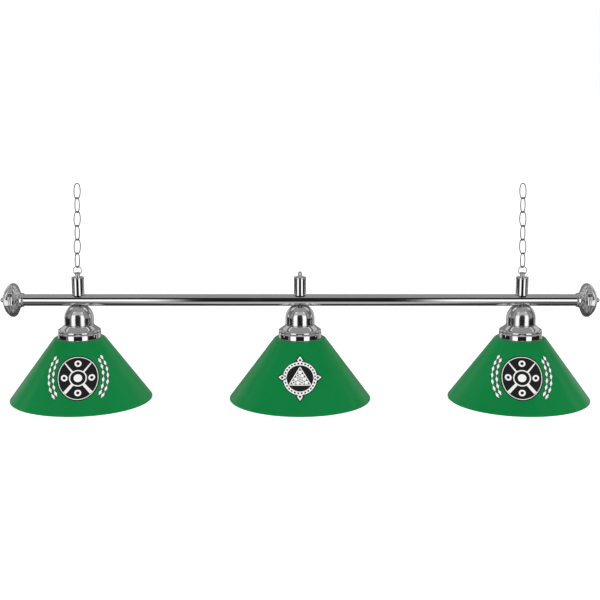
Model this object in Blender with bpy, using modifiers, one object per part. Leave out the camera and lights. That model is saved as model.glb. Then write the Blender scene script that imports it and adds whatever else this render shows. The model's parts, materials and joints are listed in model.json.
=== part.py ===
"""Pool table lamp with three cone shades on one chromed bar, hung by two chains.

Run with: blender --background --python part.py

Frame: metres, +Z up, +X along the bar, the front of the lamp towards -Y. The origin is the middle of
the line on which the lamp hangs: halfway between the inner crowns of the two top chain links. Turned
parts of the bar and of the lamps are drawn about the bar's axis, in the frame of an empty on it.
"""

import math

import bmesh
import bpy
from mathutils import Matrix

MM = 0.001
GAP = 0.3 * MM  # between pieces that touch on the real lamp

# Driving dimensions
OVERALL_LENGTH = 1524.0 * MM
LAMP_SPACING = 563.4 * MM
LAMPS = {"left": -LAMP_SPACING, "center": 0.0, "right": LAMP_SPACING}
ENDS = {"left": -1, "right": 1}
SHADE_MOUTH_RADIUS = 181.4 * MM
SHADE_TOP_RADIUS = 64.4 * MM
SHADE_TOP_Z = -96.4 * MM
SHADE_MOUTH_Z = -256.4 * MM
SHADE_WALL = 3.0 * MM

# Bar
BAR_RADIUS = 15.0 * MM
BAR_WALL = 1.5 * MM
BAR_END = 741.0 * MM
ROD_HOLE_RADIUS = 5.3 * MM
WIRE_HOLE_RADIUS = 2.9 * MM
WIRE_HOLE_X = 9.5 * MM

# The end caps are turned about the bar: r outwards, z away from the lamp's middle.
RIM_RADIUS = 43.0 * MM
RIM_SPLIT = 729.2 * MM
BALL_RADIUS = 6.8 * MM
BALL_CENTRE = OVERALL_LENGTH / 2 - BALL_RADIUS
DOME_FACE = 753.8 * MM
DOME_SHOULDER = (16.5 * MM, 752.6 * MM)
DOME_RIM = (RIM_RADIUS, 733.0 * MM)
SPIGOT_RADIUS = 13.1 * MM
SPIGOT_START = 722.0 * MM
STEM_RADIUS = 2.9 * MM

# Hollow threaded rod through each lamp
ROD_RADIUS = 4.8 * MM
ROD_BORE_RADIUS = 3.2 * MM
ROD_TOP = 64.0 * MM
ROD_BOTTOM = -65.0 * MM
ROD_WINDOW = (6.4 * MM, 6.0 * MM, 15.0 * MM)
THREAD_BORE_RADIUS = 5.1 * MM
THREAD_BORE_TOP = 64.8 * MM

# Post above the bar, and what screws down on it
POST_RADIUS = 15.8 * MM
POST_BEAD = 0.5 * MM
POST_WALL = 1.4 * MM
POST_TOP = 59.5 * MM
POST_BOTTOM = 13.6 * MM
BUSHING_Z = 40.0 * MM
BUSHING_HOLE_RADIUS = 4.2 * MM
LOOP_RING_RADIUS = 10.6 * MM
LOOP_WIRE = 2.8 * MM
LOOP_PLAY = 0.6 * MM  # lets the eye rock on the last link
LOOP_RING_Z = 76.2 * MM
LOOP_NECK_TOP = 71.6 * MM
CAP_NUT_TOP = 74.0 * MM

# Chain
LINKS = 6
LINK_PITCH = 35.0 * MM
LINK_WIRE = 2.8 * MM
LINK_WIDTH = 18.7 * MM  # between the centres of the two legs
LINK_TWIST = math.radians(45.8)  # from the lamp's front plane
CHAIN_LEAN = math.radians(1.75)  # the hooks are this much nearer each other than the eyes
LINK_OVAL = 2.3  # exponent of the superellipse: 2 is an ellipse
LINK_POINTS = 16

# Cup, shade holder and socket under the bar
CUP_RADIUS = 37.2 * MM
CUP_TOP = -15.4 * MM
CUP_BALL_Z = -46.0 * MM
CUP_BOTTOM = -62.2 * MM
SHEET = 1.2 * MM
HOLDER_RADIUS = 55.0 * MM
HOLDER_CREASE = (50.0 * MM, -74.2 * MM)
HOLDER_SHOULDER = 5.6 * MM
NUT_FLATS = 14.0 * MM
NUT_THICKNESS = 3.5 * MM
SOCKET_RADIUS = 19.8 * MM
SOCKET_TOP = -50.0 * MM
SOCKET_SHOULDER_Z = -60.0 * MM
SOCKET_MOUTH_Z = -108.0 * MM
SOCKET_CAVITY_RADIUS = 15.2 * MM
SOCKET_CAVITY_TOP = -78.0 * MM
SHADE_HOLE_RADIUS = 21.0 * MM
RING_NUT_RADIUS = 27.0 * MM
RING_NUT_HEIGHT = 6.6 * MM

# Bulb, a standard 60 mm globe on a 26 mm screw base
BULB_RADIUS = 30.0 * MM
BULB_BOTTOM = -190.5 * MM
BULB_GLASS = 0.9 * MM
BASE_RADIUS = 13.1 * MM
BASE_TOP = -83.3 * MM
BASE_BOTTOM = -109.5 * MM
BASE_WALL = 0.6 * MM
CONTACT_TOP = -80.6 * MM

# Round pieces are polygons of this many sides
FINE_SIDES = 32
SIDES = 16
SMALL_SIDES = 12

MATERIALS = {
    # name: (colour, roughness, metallic)
    "chrome": ((0.78, 0.78, 0.79), 0.06, 1.0),
    "zinc_steel": ((0.62, 0.62, 0.6), 0.35, 1.0),
    "green_acrylic": ((0.006, 0.2, 0.045), 0.12, 0.0),
    "white_ceramic": ((0.82, 0.81, 0.77), 0.3, 0.0),
    "black_phenolic": ((0.02, 0.02, 0.022), 0.45, 0.0),
    "brass": ((0.72, 0.52, 0.22), 0.25, 1.0),
    "nickel": ((0.66, 0.64, 0.6), 0.25, 1.0),
    "frosted_glass": ((0.9, 0.9, 0.88), 0.4, 0.0),
    "wire_jacket": ((0.75, 0.74, 0.7), 0.5, 0.0),
}


def clear_scene():
    for obj in list(bpy.data.objects):
        bpy.data.objects.remove(obj)


def new_collection(name):
    collection = bpy.data.collections.new(name)
    bpy.context.scene.collection.children.link(collection)
    return collection


def make_materials():
    made = {}
    for name, (colour, roughness, metallic) in MATERIALS.items():
        made[name] = bpy.data.materials.new(name)
        made[name].use_nodes = True
        shader = made[name].node_tree.nodes["Principled BSDF"]
        shader.inputs["Base Color"].default_value = (*colour, 1.0)
        shader.inputs["Roughness"].default_value = roughness
        shader.inputs["Metallic"].default_value = metallic
    return made


clear_scene()
PARTS = new_collection("pool_table_lamp")
CUTTERS = new_collection("cutters")
LOOK = make_materials()


# ---------------------------------------------------------------- drawing


def empty(name, location, parent=None):
    obj = bpy.data.objects.new(name, None)
    obj.location = location
    obj.parent = parent
    PARTS.objects.link(obj)
    return obj


def place(name, data, material, parent=None, location=(0, 0, 0), rotation=(0, 0, 0)):
    """A part made of data, in the frame of its parent."""
    obj = bpy.data.objects.new(name, data)
    if not data.materials:
        data.materials.append(LOOK[material])
    obj.location = location
    obj.rotation_euler = rotation
    obj.parent = parent
    PARTS.objects.link(obj)
    return obj


def as_helper(obj):
    """Moves an object to the cutters, so that it is not a part."""
    PARTS.objects.unlink(obj)
    CUTTERS.objects.link(obj)
    obj.hide_render = True
    obj.display_type = "WIRE"
    return obj


def arc(centre, radius, start, end, steps):
    """Points (r, z) on an arc between two angles in degrees: 0 points outwards and 90 up."""
    points = []
    for i in range(steps + 1):
        angle = math.radians(start + (end - start) * i / steps)
        points.append((centre[0] + radius * math.cos(angle), centre[1] + radius * math.sin(angle)))
    return points


def profile_mesh(name, points, closed):
    mesh = bpy.data.meshes.new(name)
    edges = [(i, i + 1) for i in range(len(points) - 1)]
    if closed:
        edges.append((len(points) - 1, 0))
    mesh.from_pydata([(r, 0, z) for r, z in points], edges, [])
    return mesh


def turn(obj, sides):
    screw = obj.modifiers.new("turn", "SCREW")
    screw.axis = "Z"
    screw.angle = math.tau
    screw.steps = sides
    screw.render_steps = sides
    screw.use_merge_vertices = True
    screw.merge_threshold = 0.00001
    return obj


def turned(name, points, sides, material, parent=None, closed=True, **where):
    """A solid of revolution. Its outline runs down the outer side, and back up the inner if it is closed."""
    obj = place(name, profile_mesh(name, points, closed), material, parent, **where)
    return turn(obj, sides)


def turned_sheet(name, points, sides, wall, material, parent=None, **where):
    """A shell of revolution: points are its outer side, and the wall grows inwards."""
    obj = turned(name, points, sides, material, parent, closed=False, **where)
    solidify = obj.modifiers.new("wall", "SOLIDIFY")
    solidify.thickness = wall
    solidify.offset = -1
    solidify.use_even_offset = True
    return obj


def rod_cutter(name, radius, length, location, parent, rotation=(0, 0, 0), sides=SMALL_SIDES):
    bpy.ops.mesh.primitive_cylinder_add(vertices=sides, radius=radius, depth=length)
    return as_helper(adopt(name, location, rotation, parent))


def box_cutter(name, size, location, parent):
    bpy.ops.mesh.primitive_cube_add(size=1)
    bpy.context.object.data.transform(Matrix.Diagonal((*size, 1)))
    return as_helper(adopt(name, location, (0, 0, 0), parent))


def adopt(name, location, rotation, parent):
    """Takes the primitive that was just added into the parts."""
    obj = bpy.context.object
    obj.name = name
    for collection in list(obj.users_collection):
        collection.objects.unlink(obj)
    PARTS.objects.link(obj)
    obj.parent = parent
    obj.location = location
    obj.rotation_euler = rotation
    obj.data.shade_smooth()
    return obj


def combine(obj, other, operation):
    boolean = obj.modifiers.new(f"{operation.lower()}_{other.name}", "BOOLEAN")
    boolean.operation = operation
    boolean.object = other


def tube_curve(name, points, radius, bevel_resolution, cyclic=False):
    curve = bpy.data.curves.new(name, "CURVE")
    curve.dimensions = "3D"
    curve.bevel_depth = radius
    curve.bevel_resolution = bevel_resolution
    curve.use_fill_caps = not cyclic
    spline = curve.splines.new("POLY")
    spline.points.add(len(points) - 1)
    spline.use_cyclic_u = cyclic
    for point, place_on_it in zip(spline.points, points):
        point.co = (*place_on_it, 1)
    return curve


def tube_solid(name, points, radius, parent):
    """A wire as a closed mesh, so that it can be joined to others."""
    source = place(name + "_line", tube_curve(name, points, radius, 1), "wire_jacket", parent)
    bpy.context.view_layer.update()
    graph = bpy.context.evaluated_depsgraph_get()
    mesh = bpy.data.meshes.new_from_object(source.evaluated_get(graph))
    weld(mesh)
    bpy.data.objects.remove(source)
    return place(name, mesh, "wire_jacket", parent)


def weld(mesh):
    """Joins a tube's caps to its sides."""
    work = bmesh.new()
    work.from_mesh(mesh)
    bmesh.ops.remove_doubles(work, verts=work.verts, dist=0.00001)
    work.to_mesh(mesh)
    work.free()


# ---------------------------------------------------------------- chain heights

LINK_LENGTH = LINK_PITCH + LINK_WIRE + GAP  # of the wire's centre line
FIRST_LINK_Z = (LINK_WIRE - LINK_LENGTH) / 2
CHAIN_LENGTH = LINKS * LINK_PITCH - LINK_PITCH / 2 - FIRST_LINK_Z  # from the hook to the eye
LOOP_PIVOT_Z = -CHAIN_LENGTH * math.cos(CHAIN_LEAN)
LOOP_TOP_Z = LOOP_PIVOT_Z + (LINK_PITCH - LINK_LENGTH) / 2 + (LINK_WIRE + LOOP_WIRE) / 2 + GAP + LOOP_PLAY
BAR_Z = LOOP_TOP_Z - LOOP_RING_RADIUS - LOOP_RING_Z


def link_outline():
    """The centre line of one link, an oval in its XZ plane."""
    points = []
    for i in range(LINK_POINTS):
        angle = math.tau * i / LINK_POINTS
        across, up = math.cos(angle), math.sin(angle)
        points.append(
            (
                math.copysign(abs(across) ** (2 / LINK_OVAL), across) * LINK_WIDTH / 2,
                0,
                math.copysign(abs(up) ** (2 / LINK_OVAL), up) * LINK_LENGTH / 2,
            )
        )
    return points


def make_chains():
    curve = tube_curve("chain_link", link_outline(), LINK_WIRE / 2, 1, cyclic=True)
    for end, side in ENDS.items():
        eye = empty(f"{end}_chain_line", (side * LAMP_SPACING, 0, LOOP_PIVOT_Z))
        eye.rotation_euler.y = -side * CHAIN_LEAN
        for i in range(LINKS):
            name = f"{end}_chain_link_{i + 1}"
            pivot = empty(f"{name}_pivot", (0, 0, (LINKS - i) * LINK_PITCH), eye)
            turned_by = LINK_TWIST - math.radians(90) * (i % 2)
            link_at = {"location": (0, 0, -LINK_PITCH / 2), "rotation": (0, 0, -side * turned_by)}
            place(name, curve, "chrome", pivot, **link_at)


# ---------------------------------------------------------------- bar and ends


def make_bar(axis):
    along_x = (0, math.radians(90), 0)
    inner = BAR_RADIUS - BAR_WALL
    outline = [(BAR_RADIUS, BAR_END), (BAR_RADIUS, -BAR_END), (inner, -BAR_END), (inner, BAR_END)]
    bar = turned("bar_tube", outline, SIDES, "chrome", axis, rotation=along_x)
    through = 4 * BAR_RADIUS
    for name, x in LAMPS.items():
        combine(bar, rod_cutter(f"{name}_rod_hole", ROD_HOLE_RADIUS, through, (x, 0, 0), axis), "DIFFERENCE")
    hole_at = (WIRE_HOLE_X, 0, BAR_RADIUS)
    combine(bar, rod_cutter("wire_hole", WIRE_HOLE_RADIUS, BAR_RADIUS, hole_at, axis), "DIFFERENCE")


def bell_outline():
    """The inner half of the end cap, towards the lamp's middle: a rim, a crease and a small flare."""
    rim = arc((RIM_RADIUS - 9 * MM, 726.3 * MM), 9 * MM, 0, -62, 2)
    flare = arc((BAR_RADIUS + 15 * MM, 702 * MM), 12.6 * MM, 88, 174, 2)
    return [(RIM_RADIUS, RIM_SPLIT), *rim, (31.2 * MM, 716.6 * MM), *flare]


def dome_outline():
    """The outer end cap: a shallow dome outside, and a spigot inside that plugs the bar."""
    wall = 1.4 * MM
    outer_dome = bulge(DOME_SHOULDER, DOME_RIM, 2.6 * MM, 3)
    inner_dome = [(r - wall, z - wall) for r, z in reversed(outer_dome[1:])]
    return [
        (STEM_RADIUS + GAP, DOME_FACE),
        (DOME_SHOULDER[0] - 5 * MM, DOME_FACE),
        *outer_dome,
        (RIM_RADIUS, RIM_SPLIT + GAP),
        (RIM_RADIUS - wall, RIM_SPLIT + GAP),
        *inner_dome,
        (SPIGOT_RADIUS, DOME_SHOULDER[1] - wall),
        (SPIGOT_RADIUS, SPIGOT_START),
        (SPIGOT_RADIUS - 3 * MM, SPIGOT_START),
        (SPIGOT_RADIUS - 3 * MM, DOME_FACE - 4 * MM),
        (STEM_RADIUS + GAP, DOME_FACE - 4 * MM),
    ]


def bulge(start, end, height, steps):
    """Points from start to end on a shallow arc that stands height proud, outwards and up."""
    (r, z), (dr, dz) = start, (end[0] - start[0], end[1] - start[1])
    points = []
    for i in range(steps + 1):
        t = i / steps
        rise = 4 * height * t * (1 - t) / math.hypot(dr, dz)
        points.append((r + dr * t - dz * rise, z + dz * t + dr * rise))
    return points


def ball_outline():
    seat = DOME_FACE + GAP
    seat_angle = math.degrees(math.asin((seat - BALL_CENTRE) / BALL_RADIUS))
    stem_end = SPIGOT_START + 12 * MM
    ball = arc((0, BALL_CENTRE), BALL_RADIUS, 90, seat_angle, 6)
    return [*ball, (STEM_RADIUS, seat), (STEM_RADIUS, stem_end), (0, stem_end)]


def make_ends(axis):
    for end, side in ENDS.items():
        facing = {"rotation": (0, side * math.radians(90), 0)}
        turned_sheet(f"{end}_end_bell", bell_outline(), SIDES, 1.4 * MM, "chrome", axis, **facing)
        turned(f"{end}_end_dome", dome_outline(), SIDES, "chrome", axis, **facing)
        turned(f"{end}_finial_ball", ball_outline(), SMALL_SIDES, "chrome", axis, closed=False, **facing)


# ---------------------------------------------------------------- above the bar


def post_outline():
    bead = POST_RADIUS + POST_BEAD
    return [
        (ROD_HOLE_RADIUS, POST_TOP),
        (POST_RADIUS - 0.4 * MM, POST_TOP),
        (bead, POST_TOP - 1.4 * MM),
        (POST_RADIUS, POST_TOP - 3.0 * MM),
        (POST_RADIUS, POST_BOTTOM + 2.4 * MM),
        (bead, POST_BOTTOM + 1.4 * MM),
        (bead, POST_BOTTOM),
    ]


def make_post(name, lamp, saddle):
    post = turned_sheet(f"{name}_post", post_outline(), SIDES, POST_WALL, "chrome", lamp)
    combine(post, saddle, "DIFFERENCE")
    return post


def loop_neck_outline():
    base = POST_TOP + GAP
    return [
        (THREAD_BORE_RADIUS, base),
        (0, THREAD_BORE_TOP),
        (0, LOOP_NECK_TOP),
        (6.0 * MM, LOOP_NECK_TOP),
        (6.9 * MM, LOOP_NECK_TOP - 0.9 * MM),
        (6.9 * MM, LOOP_NECK_TOP - 2.6 * MM),
        (6.1 * MM, LOOP_NECK_TOP - 3.4 * MM),
        (6.1 * MM, base + 2.4 * MM),
        (7.2 * MM, base + 1.4 * MM),
        (7.2 * MM, base),
    ]


def make_loop(name, lamp):
    """An eye on a threaded neck: it screws on the rod and clamps the post to the bar."""
    bore, *outside = loop_neck_outline()
    outline = [*outside[1:], bore, (THREAD_BORE_RADIUS, THREAD_BORE_TOP), outside[0]]
    loop = turned(f"{name}_chain_loop", outline, SMALL_SIDES, "chrome", lamp, closed=False)
    bpy.ops.mesh.primitive_torus_add(
        major_radius=LOOP_RING_RADIUS, minor_radius=LOOP_WIRE / 2, major_segments=16, minor_segments=6
    )
    ring = adopt(f"{name}_ring", (0, 0, LOOP_RING_Z), (math.radians(90), 0, 0), lamp)
    combine(loop, as_helper(ring), "UNION")


def make_cap_nut(lamp):
    """The middle post has no chain, so a blind nut closes it."""
    base = POST_TOP + GAP
    crown = arc((0, CAP_NUT_TOP - 5.6 * MM), 5.6 * MM, 90, 10, 4)
    outline = [
        *crown,
        (6.2 * MM, base + 3.0 * MM),
        (7.4 * MM, base + 1.0 * MM),
        (7.4 * MM, base),
        (THREAD_BORE_RADIUS, base),
        (THREAD_BORE_RADIUS, THREAD_BORE_TOP),
        (0, THREAD_BORE_TOP),
    ]
    turned("center_cap_nut", outline, SMALL_SIDES, "chrome", lamp, closed=False)


def make_bushing(lamp, post):
    """Where the supply cord enters, behind the middle post."""
    backwards = {"location": (0, 0, BUSHING_Z), "rotation": (math.radians(-90), 0, 0)}
    hole_at = (0, POST_RADIUS, BUSHING_Z)
    hole = rod_cutter("bushing_hole", BUSHING_HOLE_RADIUS, POST_RADIUS, hole_at, lamp, backwards["rotation"])
    combine(post, hole, "DIFFERENCE")
    body, bore = BUSHING_HOLE_RADIUS - GAP, 2.6 * MM
    face, inside = POST_RADIUS + POST_BEAD + 2.4 * MM, POST_RADIUS - 4 * MM
    seat = POST_RADIUS + GAP
    outline = [
        (bore, face),
        (5.4 * MM, face),
        (6.2 * MM, face - 0.8 * MM),
        (6.2 * MM, seat),
        (body, seat),
        (body, inside),
        (bore, inside),
    ]
    turned("cord_bushing", outline, SMALL_SIDES, "black_phenolic", lamp, **backwards)


# ---------------------------------------------------------------- under the bar


def make_rod(name, lamp):
    outer = [(ROD_RADIUS, ROD_TOP), (ROD_RADIUS, ROD_BOTTOM)]
    outline = [*outer, (ROD_BORE_RADIUS, ROD_BOTTOM), (ROD_BORE_RADIUS, ROD_TOP)]
    rod = turned(f"{name}_threaded_rod", outline, SMALL_SIDES, "zinc_steel", lamp)
    window = box_cutter(f"{name}_window", ROD_WINDOW, (0, ROD_WINDOW[1] / 2, -2 * MM), lamp)
    combine(rod, window, "DIFFERENCE")


def make_cup(name, lamp):
    flat = math.degrees(math.asin((CUP_TOP - CUP_BALL_Z) / CUP_RADIUS))
    ball = arc((0, CUP_BALL_Z), CUP_RADIUS, flat, 0, 4)
    outline = [(ROD_HOLE_RADIUS, CUP_TOP), *ball, (CUP_RADIUS, CUP_BOTTOM)]
    turned_sheet(f"{name}_cup", outline, SIDES, SHEET, "chrome", lamp)


def make_lock_nut(name, lamp):
    """A hexagon nut that holds the cup up against the bar."""
    middle = (0, 0, CUP_TOP - SHEET - GAP - NUT_THICKNESS / 2)
    corner_radius = NUT_FLATS / 2 / math.cos(math.radians(30))
    bpy.ops.mesh.primitive_cylinder_add(vertices=6, radius=corner_radius, depth=NUT_THICKNESS)
    nut = adopt(f"{name}_lock_nut", middle, (0, 0, 0), lamp)
    nut.data.shade_flat()
    nut.data.materials.append(LOOK["zinc_steel"])
    thread = rod_cutter(f"{name}_nut_thread", THREAD_BORE_RADIUS, 3 * NUT_THICKNESS, middle, lamp)
    combine(nut, thread, "DIFFERENCE")


def make_holder(name, lamp):
    """The flared collar between the cup and the shade."""
    collar = CUP_RADIUS - SHEET - 2 * GAP
    top = CUP_BOTTOM - GAP
    shoulder = arc((HOLDER_RADIUS - HOLDER_SHOULDER, -81.0 * MM), HOLDER_SHOULDER, 74, 0, 2)
    outline = [
        (collar, CUP_BOTTOM + 6 * MM),
        (collar, top),
        (CUP_RADIUS, top),
        (CUP_RADIUS, top - 0.8 * MM),
        HOLDER_CREASE,
        *shoulder,
        (HOLDER_RADIUS, SHADE_TOP_Z + GAP),
    ]
    turned_sheet(f"{name}_shade_holder", outline, SIDES, SHEET, "chrome", lamp)


def shade_outline():
    corner = 3.2 * MM
    lip = 1.6 * MM
    slope = math.atan2(SHADE_MOUTH_RADIUS - SHADE_TOP_RADIUS, SHADE_TOP_Z - SHADE_MOUTH_Z)
    corner_centre = (SHADE_TOP_RADIUS - corner * math.cos(slope) - 0.4 * MM, SHADE_TOP_Z - corner)
    return [
        (SHADE_HOLE_RADIUS, SHADE_TOP_Z),
        *arc(corner_centre, corner, 90, math.degrees(slope), 1),
        (SHADE_MOUTH_RADIUS, SHADE_MOUTH_Z + lip),
        (SHADE_MOUTH_RADIUS, SHADE_MOUTH_Z),
    ]


def make_shade(name, lamp):
    turned_sheet(f"{name}_shade", shade_outline(), FINE_SIDES, SHADE_WALL, "green_acrylic", lamp)


def make_ring_nut(name, lamp):
    """Screws up the socket and clamps the shade to its holder."""
    top = SHADE_TOP_Z - SHADE_WALL - GAP
    bore = SOCKET_RADIUS + GAP
    outline = [
        (bore, top),
        (RING_NUT_RADIUS, top),
        (RING_NUT_RADIUS, top - 2.2 * MM),
        (RING_NUT_RADIUS - 3 * MM, top - RING_NUT_HEIGHT),
        (bore, top - RING_NUT_HEIGHT),
    ]
    turned(f"{name}_ring_nut", outline, SMALL_SIDES, "black_phenolic", lamp)


def make_socket(name, lamp):
    wire_bore = 3.6 * MM
    rod_seat = ROD_BOTTOM - GAP
    body = [
        (THREAD_BORE_RADIUS, SOCKET_TOP),
        (10.0 * MM, SOCKET_TOP),
        (10.0 * MM, SOCKET_SHOULDER_Z + 2 * MM),
        (SOCKET_RADIUS - 2 * MM, SOCKET_SHOULDER_Z),
        (SOCKET_RADIUS, SOCKET_SHOULDER_Z - 3 * MM),
        (SOCKET_RADIUS, SOCKET_MOUTH_Z),
        (SOCKET_CAVITY_RADIUS, SOCKET_MOUTH_Z),
        (SOCKET_CAVITY_RADIUS, SOCKET_CAVITY_TOP),
        (wire_bore, SOCKET_CAVITY_TOP),
        (wire_bore, rod_seat),
        (THREAD_BORE_RADIUS, rod_seat),
    ]
    turned(f"{name}_socket_body", body, SMALL_SIDES, "white_ceramic", lamp)
    outer, inner = SOCKET_CAVITY_RADIUS - 2 * GAP, BASE_RADIUS + 2 * GAP
    top, bottom = SOCKET_CAVITY_TOP - GAP, SOCKET_MOUTH_Z + 2 * MM
    floor, hole = 0.8 * MM, 6.0 * MM
    under = top - floor
    shell = [(hole, top), (outer, top), (outer, bottom), (inner, bottom), (inner, under), (hole, under)]
    turned(f"{name}_screw_shell", shell, SMALL_SIDES, "brass", lamp)


def glass_outline():
    """Neck inside the base, then a curve out to the globe, and down to the pole."""
    neck = BASE_RADIUS - BASE_WALL - 2 * GAP
    globe_z = BULB_BOTTOM + BULB_RADIUS
    globe = arc((0, globe_z), BULB_RADIUS, 26, -90, 5)
    stem = [(neck, BASE_BOTTOM + 8 * MM), (neck, BASE_BOTTOM - 2 * MM), (17.0 * MM, BASE_BOTTOM - 20 * MM)]
    return [*stem, *globe[:-1], (0, BULB_BOTTOM)]


def base_outline():
    inner = BASE_RADIUS - BASE_WALL
    threads = []
    pitch, crests, depth = 3.63 * MM, 4, 0.5 * MM
    for i in range(crests):
        crest = BASE_TOP - 5.4 * MM - i * pitch
        threads += [(BASE_RADIUS, crest), (BASE_RADIUS - depth, crest - pitch / 2)]
    plug = BASE_TOP - 4.4 * MM
    return [
        (0, BASE_TOP),
        (5.5 * MM, BASE_TOP),
        (BASE_RADIUS - depth, BASE_TOP - 4.0 * MM),
        *threads,
        (BASE_RADIUS, BASE_BOTTOM),
        (inner, BASE_BOTTOM),
        (inner, BASE_TOP - 7.0 * MM),
        (9.0 * MM, plug),
        (0, plug),
    ]


def make_bulb(name, lamp):
    turned_sheet(f"{name}_bulb_glass", glass_outline(), SMALL_SIDES, BULB_GLASS, "frosted_glass", lamp)
    turned(f"{name}_bulb_base", base_outline(), SMALL_SIDES, "nickel", lamp, closed=False)
    rim, seat = 4.6 * MM, BASE_TOP + GAP
    crown = [(0, CONTACT_TOP), (3.0 * MM, CONTACT_TOP - 0.2 * MM)]
    contact = [*crown, (rim, seat + 0.8 * MM), (rim, seat), (0, seat)]
    turned(f"{name}_bulb_contact", contact, SMALL_SIDES, "brass", lamp, closed=False)


# ---------------------------------------------------------------- wiring

RUN_Y = 8.6 * MM
RUN_Z = -3.0 * MM
DROP_END_Z = SOCKET_CAVITY_TOP + 1.0 * MM


def make_wiring(axis):
    """One loom: a run beside the rods inside the bar, a drop to each socket and a lead to the bushing."""
    ends = [(-LAMP_SPACING, RUN_Y, RUN_Z), (LAMP_SPACING, RUN_Y, RUN_Z)]
    run = tube_solid("wiring_loom", ends, 2.3 * MM, axis)
    for name, x in LAMPS.items():
        side = -1 if x > 0 else 1
        drop = [
            (x + side * 7 * MM, RUN_Y, RUN_Z),
            (x + side * 2 * MM, 8.0 * MM, -3.4 * MM),
            (x, 5.4 * MM, -4.4 * MM),
            (x, 1.6 * MM, -7.6 * MM),
            (x, 0, -13.0 * MM),
            (x, 0, DROP_END_Z),
        ]
        combine(run, as_helper(tube_solid(f"{name}_drop", drop, 1.8 * MM, axis)), "UNION")
    supply = [
        (WIRE_HOLE_X + 7 * MM, RUN_Y, RUN_Z),
        (WIRE_HOLE_X + 2 * MM, 6.6 * MM, 1.0 * MM),
        (WIRE_HOLE_X, 2.0 * MM, 7.0 * MM),
        (WIRE_HOLE_X, 0, 14.0 * MM),
        (WIRE_HOLE_X, 1.0 * MM, 24.0 * MM),
        (5.4 * MM, 7.0 * MM, 34.0 * MM),
        (0.6 * MM, 9.8 * MM, 39.4 * MM),
        (0, 14.0 * MM, BUSHING_Z),
    ]
    combine(run, as_helper(tube_solid("supply_lead", supply, 1.8 * MM, axis)), "UNION")


# ---------------------------------------------------------------- the lamp


def make_lamp(name, lamp, saddle):
    post = make_post(name, lamp, saddle)
    if name in ENDS:
        make_loop(name, lamp)
    else:
        make_cap_nut(lamp)
        make_bushing(lamp, post)
    make_rod(name, lamp)
    make_cup(name, lamp)
    make_lock_nut(name, lamp)
    make_holder(name, lamp)
    make_shade(name, lamp)
    make_ring_nut(name, lamp)
    make_socket(name, lamp)
    make_bulb(name, lamp)


def main():
    hanger = empty("loop_pivot", (0, 0, LOOP_PIVOT_Z))
    axis = empty("bar_axis", (0, 0, BAR_Z - LOOP_PIVOT_Z), hanger)
    make_chains()
    make_bar(axis)
    make_ends(axis)
    along_x = (0, math.radians(90), 0)
    saddle = rod_cutter("bar_saddle", BAR_RADIUS + GAP, 2 * BAR_END, (0, 0, 0), axis, along_x, FINE_SIDES)
    for name, x in LAMPS.items():
        make_lamp(name, empty(f"{name}_lamp", (x, 0, 0), axis), saddle)
    make_wiring(axis)


main()
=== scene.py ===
"""Looks of the pool table lamp: turned chrome, glossy green shades with printed emblems, and a studio."""

import json
import math

import bmesh
import bpy
from mathutils import Matrix, Vector


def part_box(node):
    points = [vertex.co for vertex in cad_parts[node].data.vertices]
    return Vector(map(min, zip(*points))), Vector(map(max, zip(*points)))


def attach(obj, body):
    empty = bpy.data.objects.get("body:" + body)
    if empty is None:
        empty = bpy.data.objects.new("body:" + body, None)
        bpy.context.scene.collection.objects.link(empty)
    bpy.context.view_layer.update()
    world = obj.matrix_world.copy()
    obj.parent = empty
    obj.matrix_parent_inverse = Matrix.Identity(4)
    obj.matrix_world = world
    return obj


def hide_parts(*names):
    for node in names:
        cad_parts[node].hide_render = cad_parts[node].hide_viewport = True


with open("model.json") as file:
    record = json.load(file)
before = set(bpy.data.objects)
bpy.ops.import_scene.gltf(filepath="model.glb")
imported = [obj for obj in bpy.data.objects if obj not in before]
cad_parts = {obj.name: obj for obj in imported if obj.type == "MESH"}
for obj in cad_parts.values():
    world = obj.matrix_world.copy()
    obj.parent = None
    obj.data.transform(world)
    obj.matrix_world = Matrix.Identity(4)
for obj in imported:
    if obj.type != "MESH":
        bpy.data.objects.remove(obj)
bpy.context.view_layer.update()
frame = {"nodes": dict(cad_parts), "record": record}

MM = 0.001
RECORD = frame["record"]
BODY_OF = {node: body for body, nodes in RECORD["behaviour"]["bodies"].items() for node in nodes}
SLOT_OF = {entry["node"]: entry["material_slot"] for entry in RECORD["subparts"]}
LAMPS = ("left", "center", "right")
ENDS = {"left": -1, "right": 1}
LINKS = range(1, 7)

SIDES = 96  # of a turned piece
SMALL_SIDES = 48
SHARP = math.radians(38)


# ---------------------------------------------------------------- places, read from the frame


def middle(node):
    low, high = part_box(node)
    return (Vector(low) + Vector(high)) / 2


BAR_Z = middle("bar_tube").z
LAMP_X = {name: middle(f"{name}_post").x for name in LAMPS}


def over_lamp(name):
    """The frame of one lamp: Z up through its rod, from the bar's axis."""
    return Matrix.Translation((LAMP_X[name], 0, BAR_Z))


def along_bar(side):
    """Z along the bar, away from the lamp's middle on that side."""
    return Matrix.Translation((0, 0, BAR_Z)) @ Matrix.Rotation(side * math.pi / 2, 4, "Y")


# ---------------------------------------------------------------- meshes


def arc(centre, radius, start, end, steps):
    """Points (r, z) in millimetres on an arc between two angles in degrees: 0 points outwards and 90 up."""
    points = []
    for i in range(steps + 1):
        angle = math.radians(start + (end - start) * i / steps)
        points.append((centre[0] + radius * math.cos(angle), centre[1] + radius * math.sin(angle)))
    return points


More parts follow.
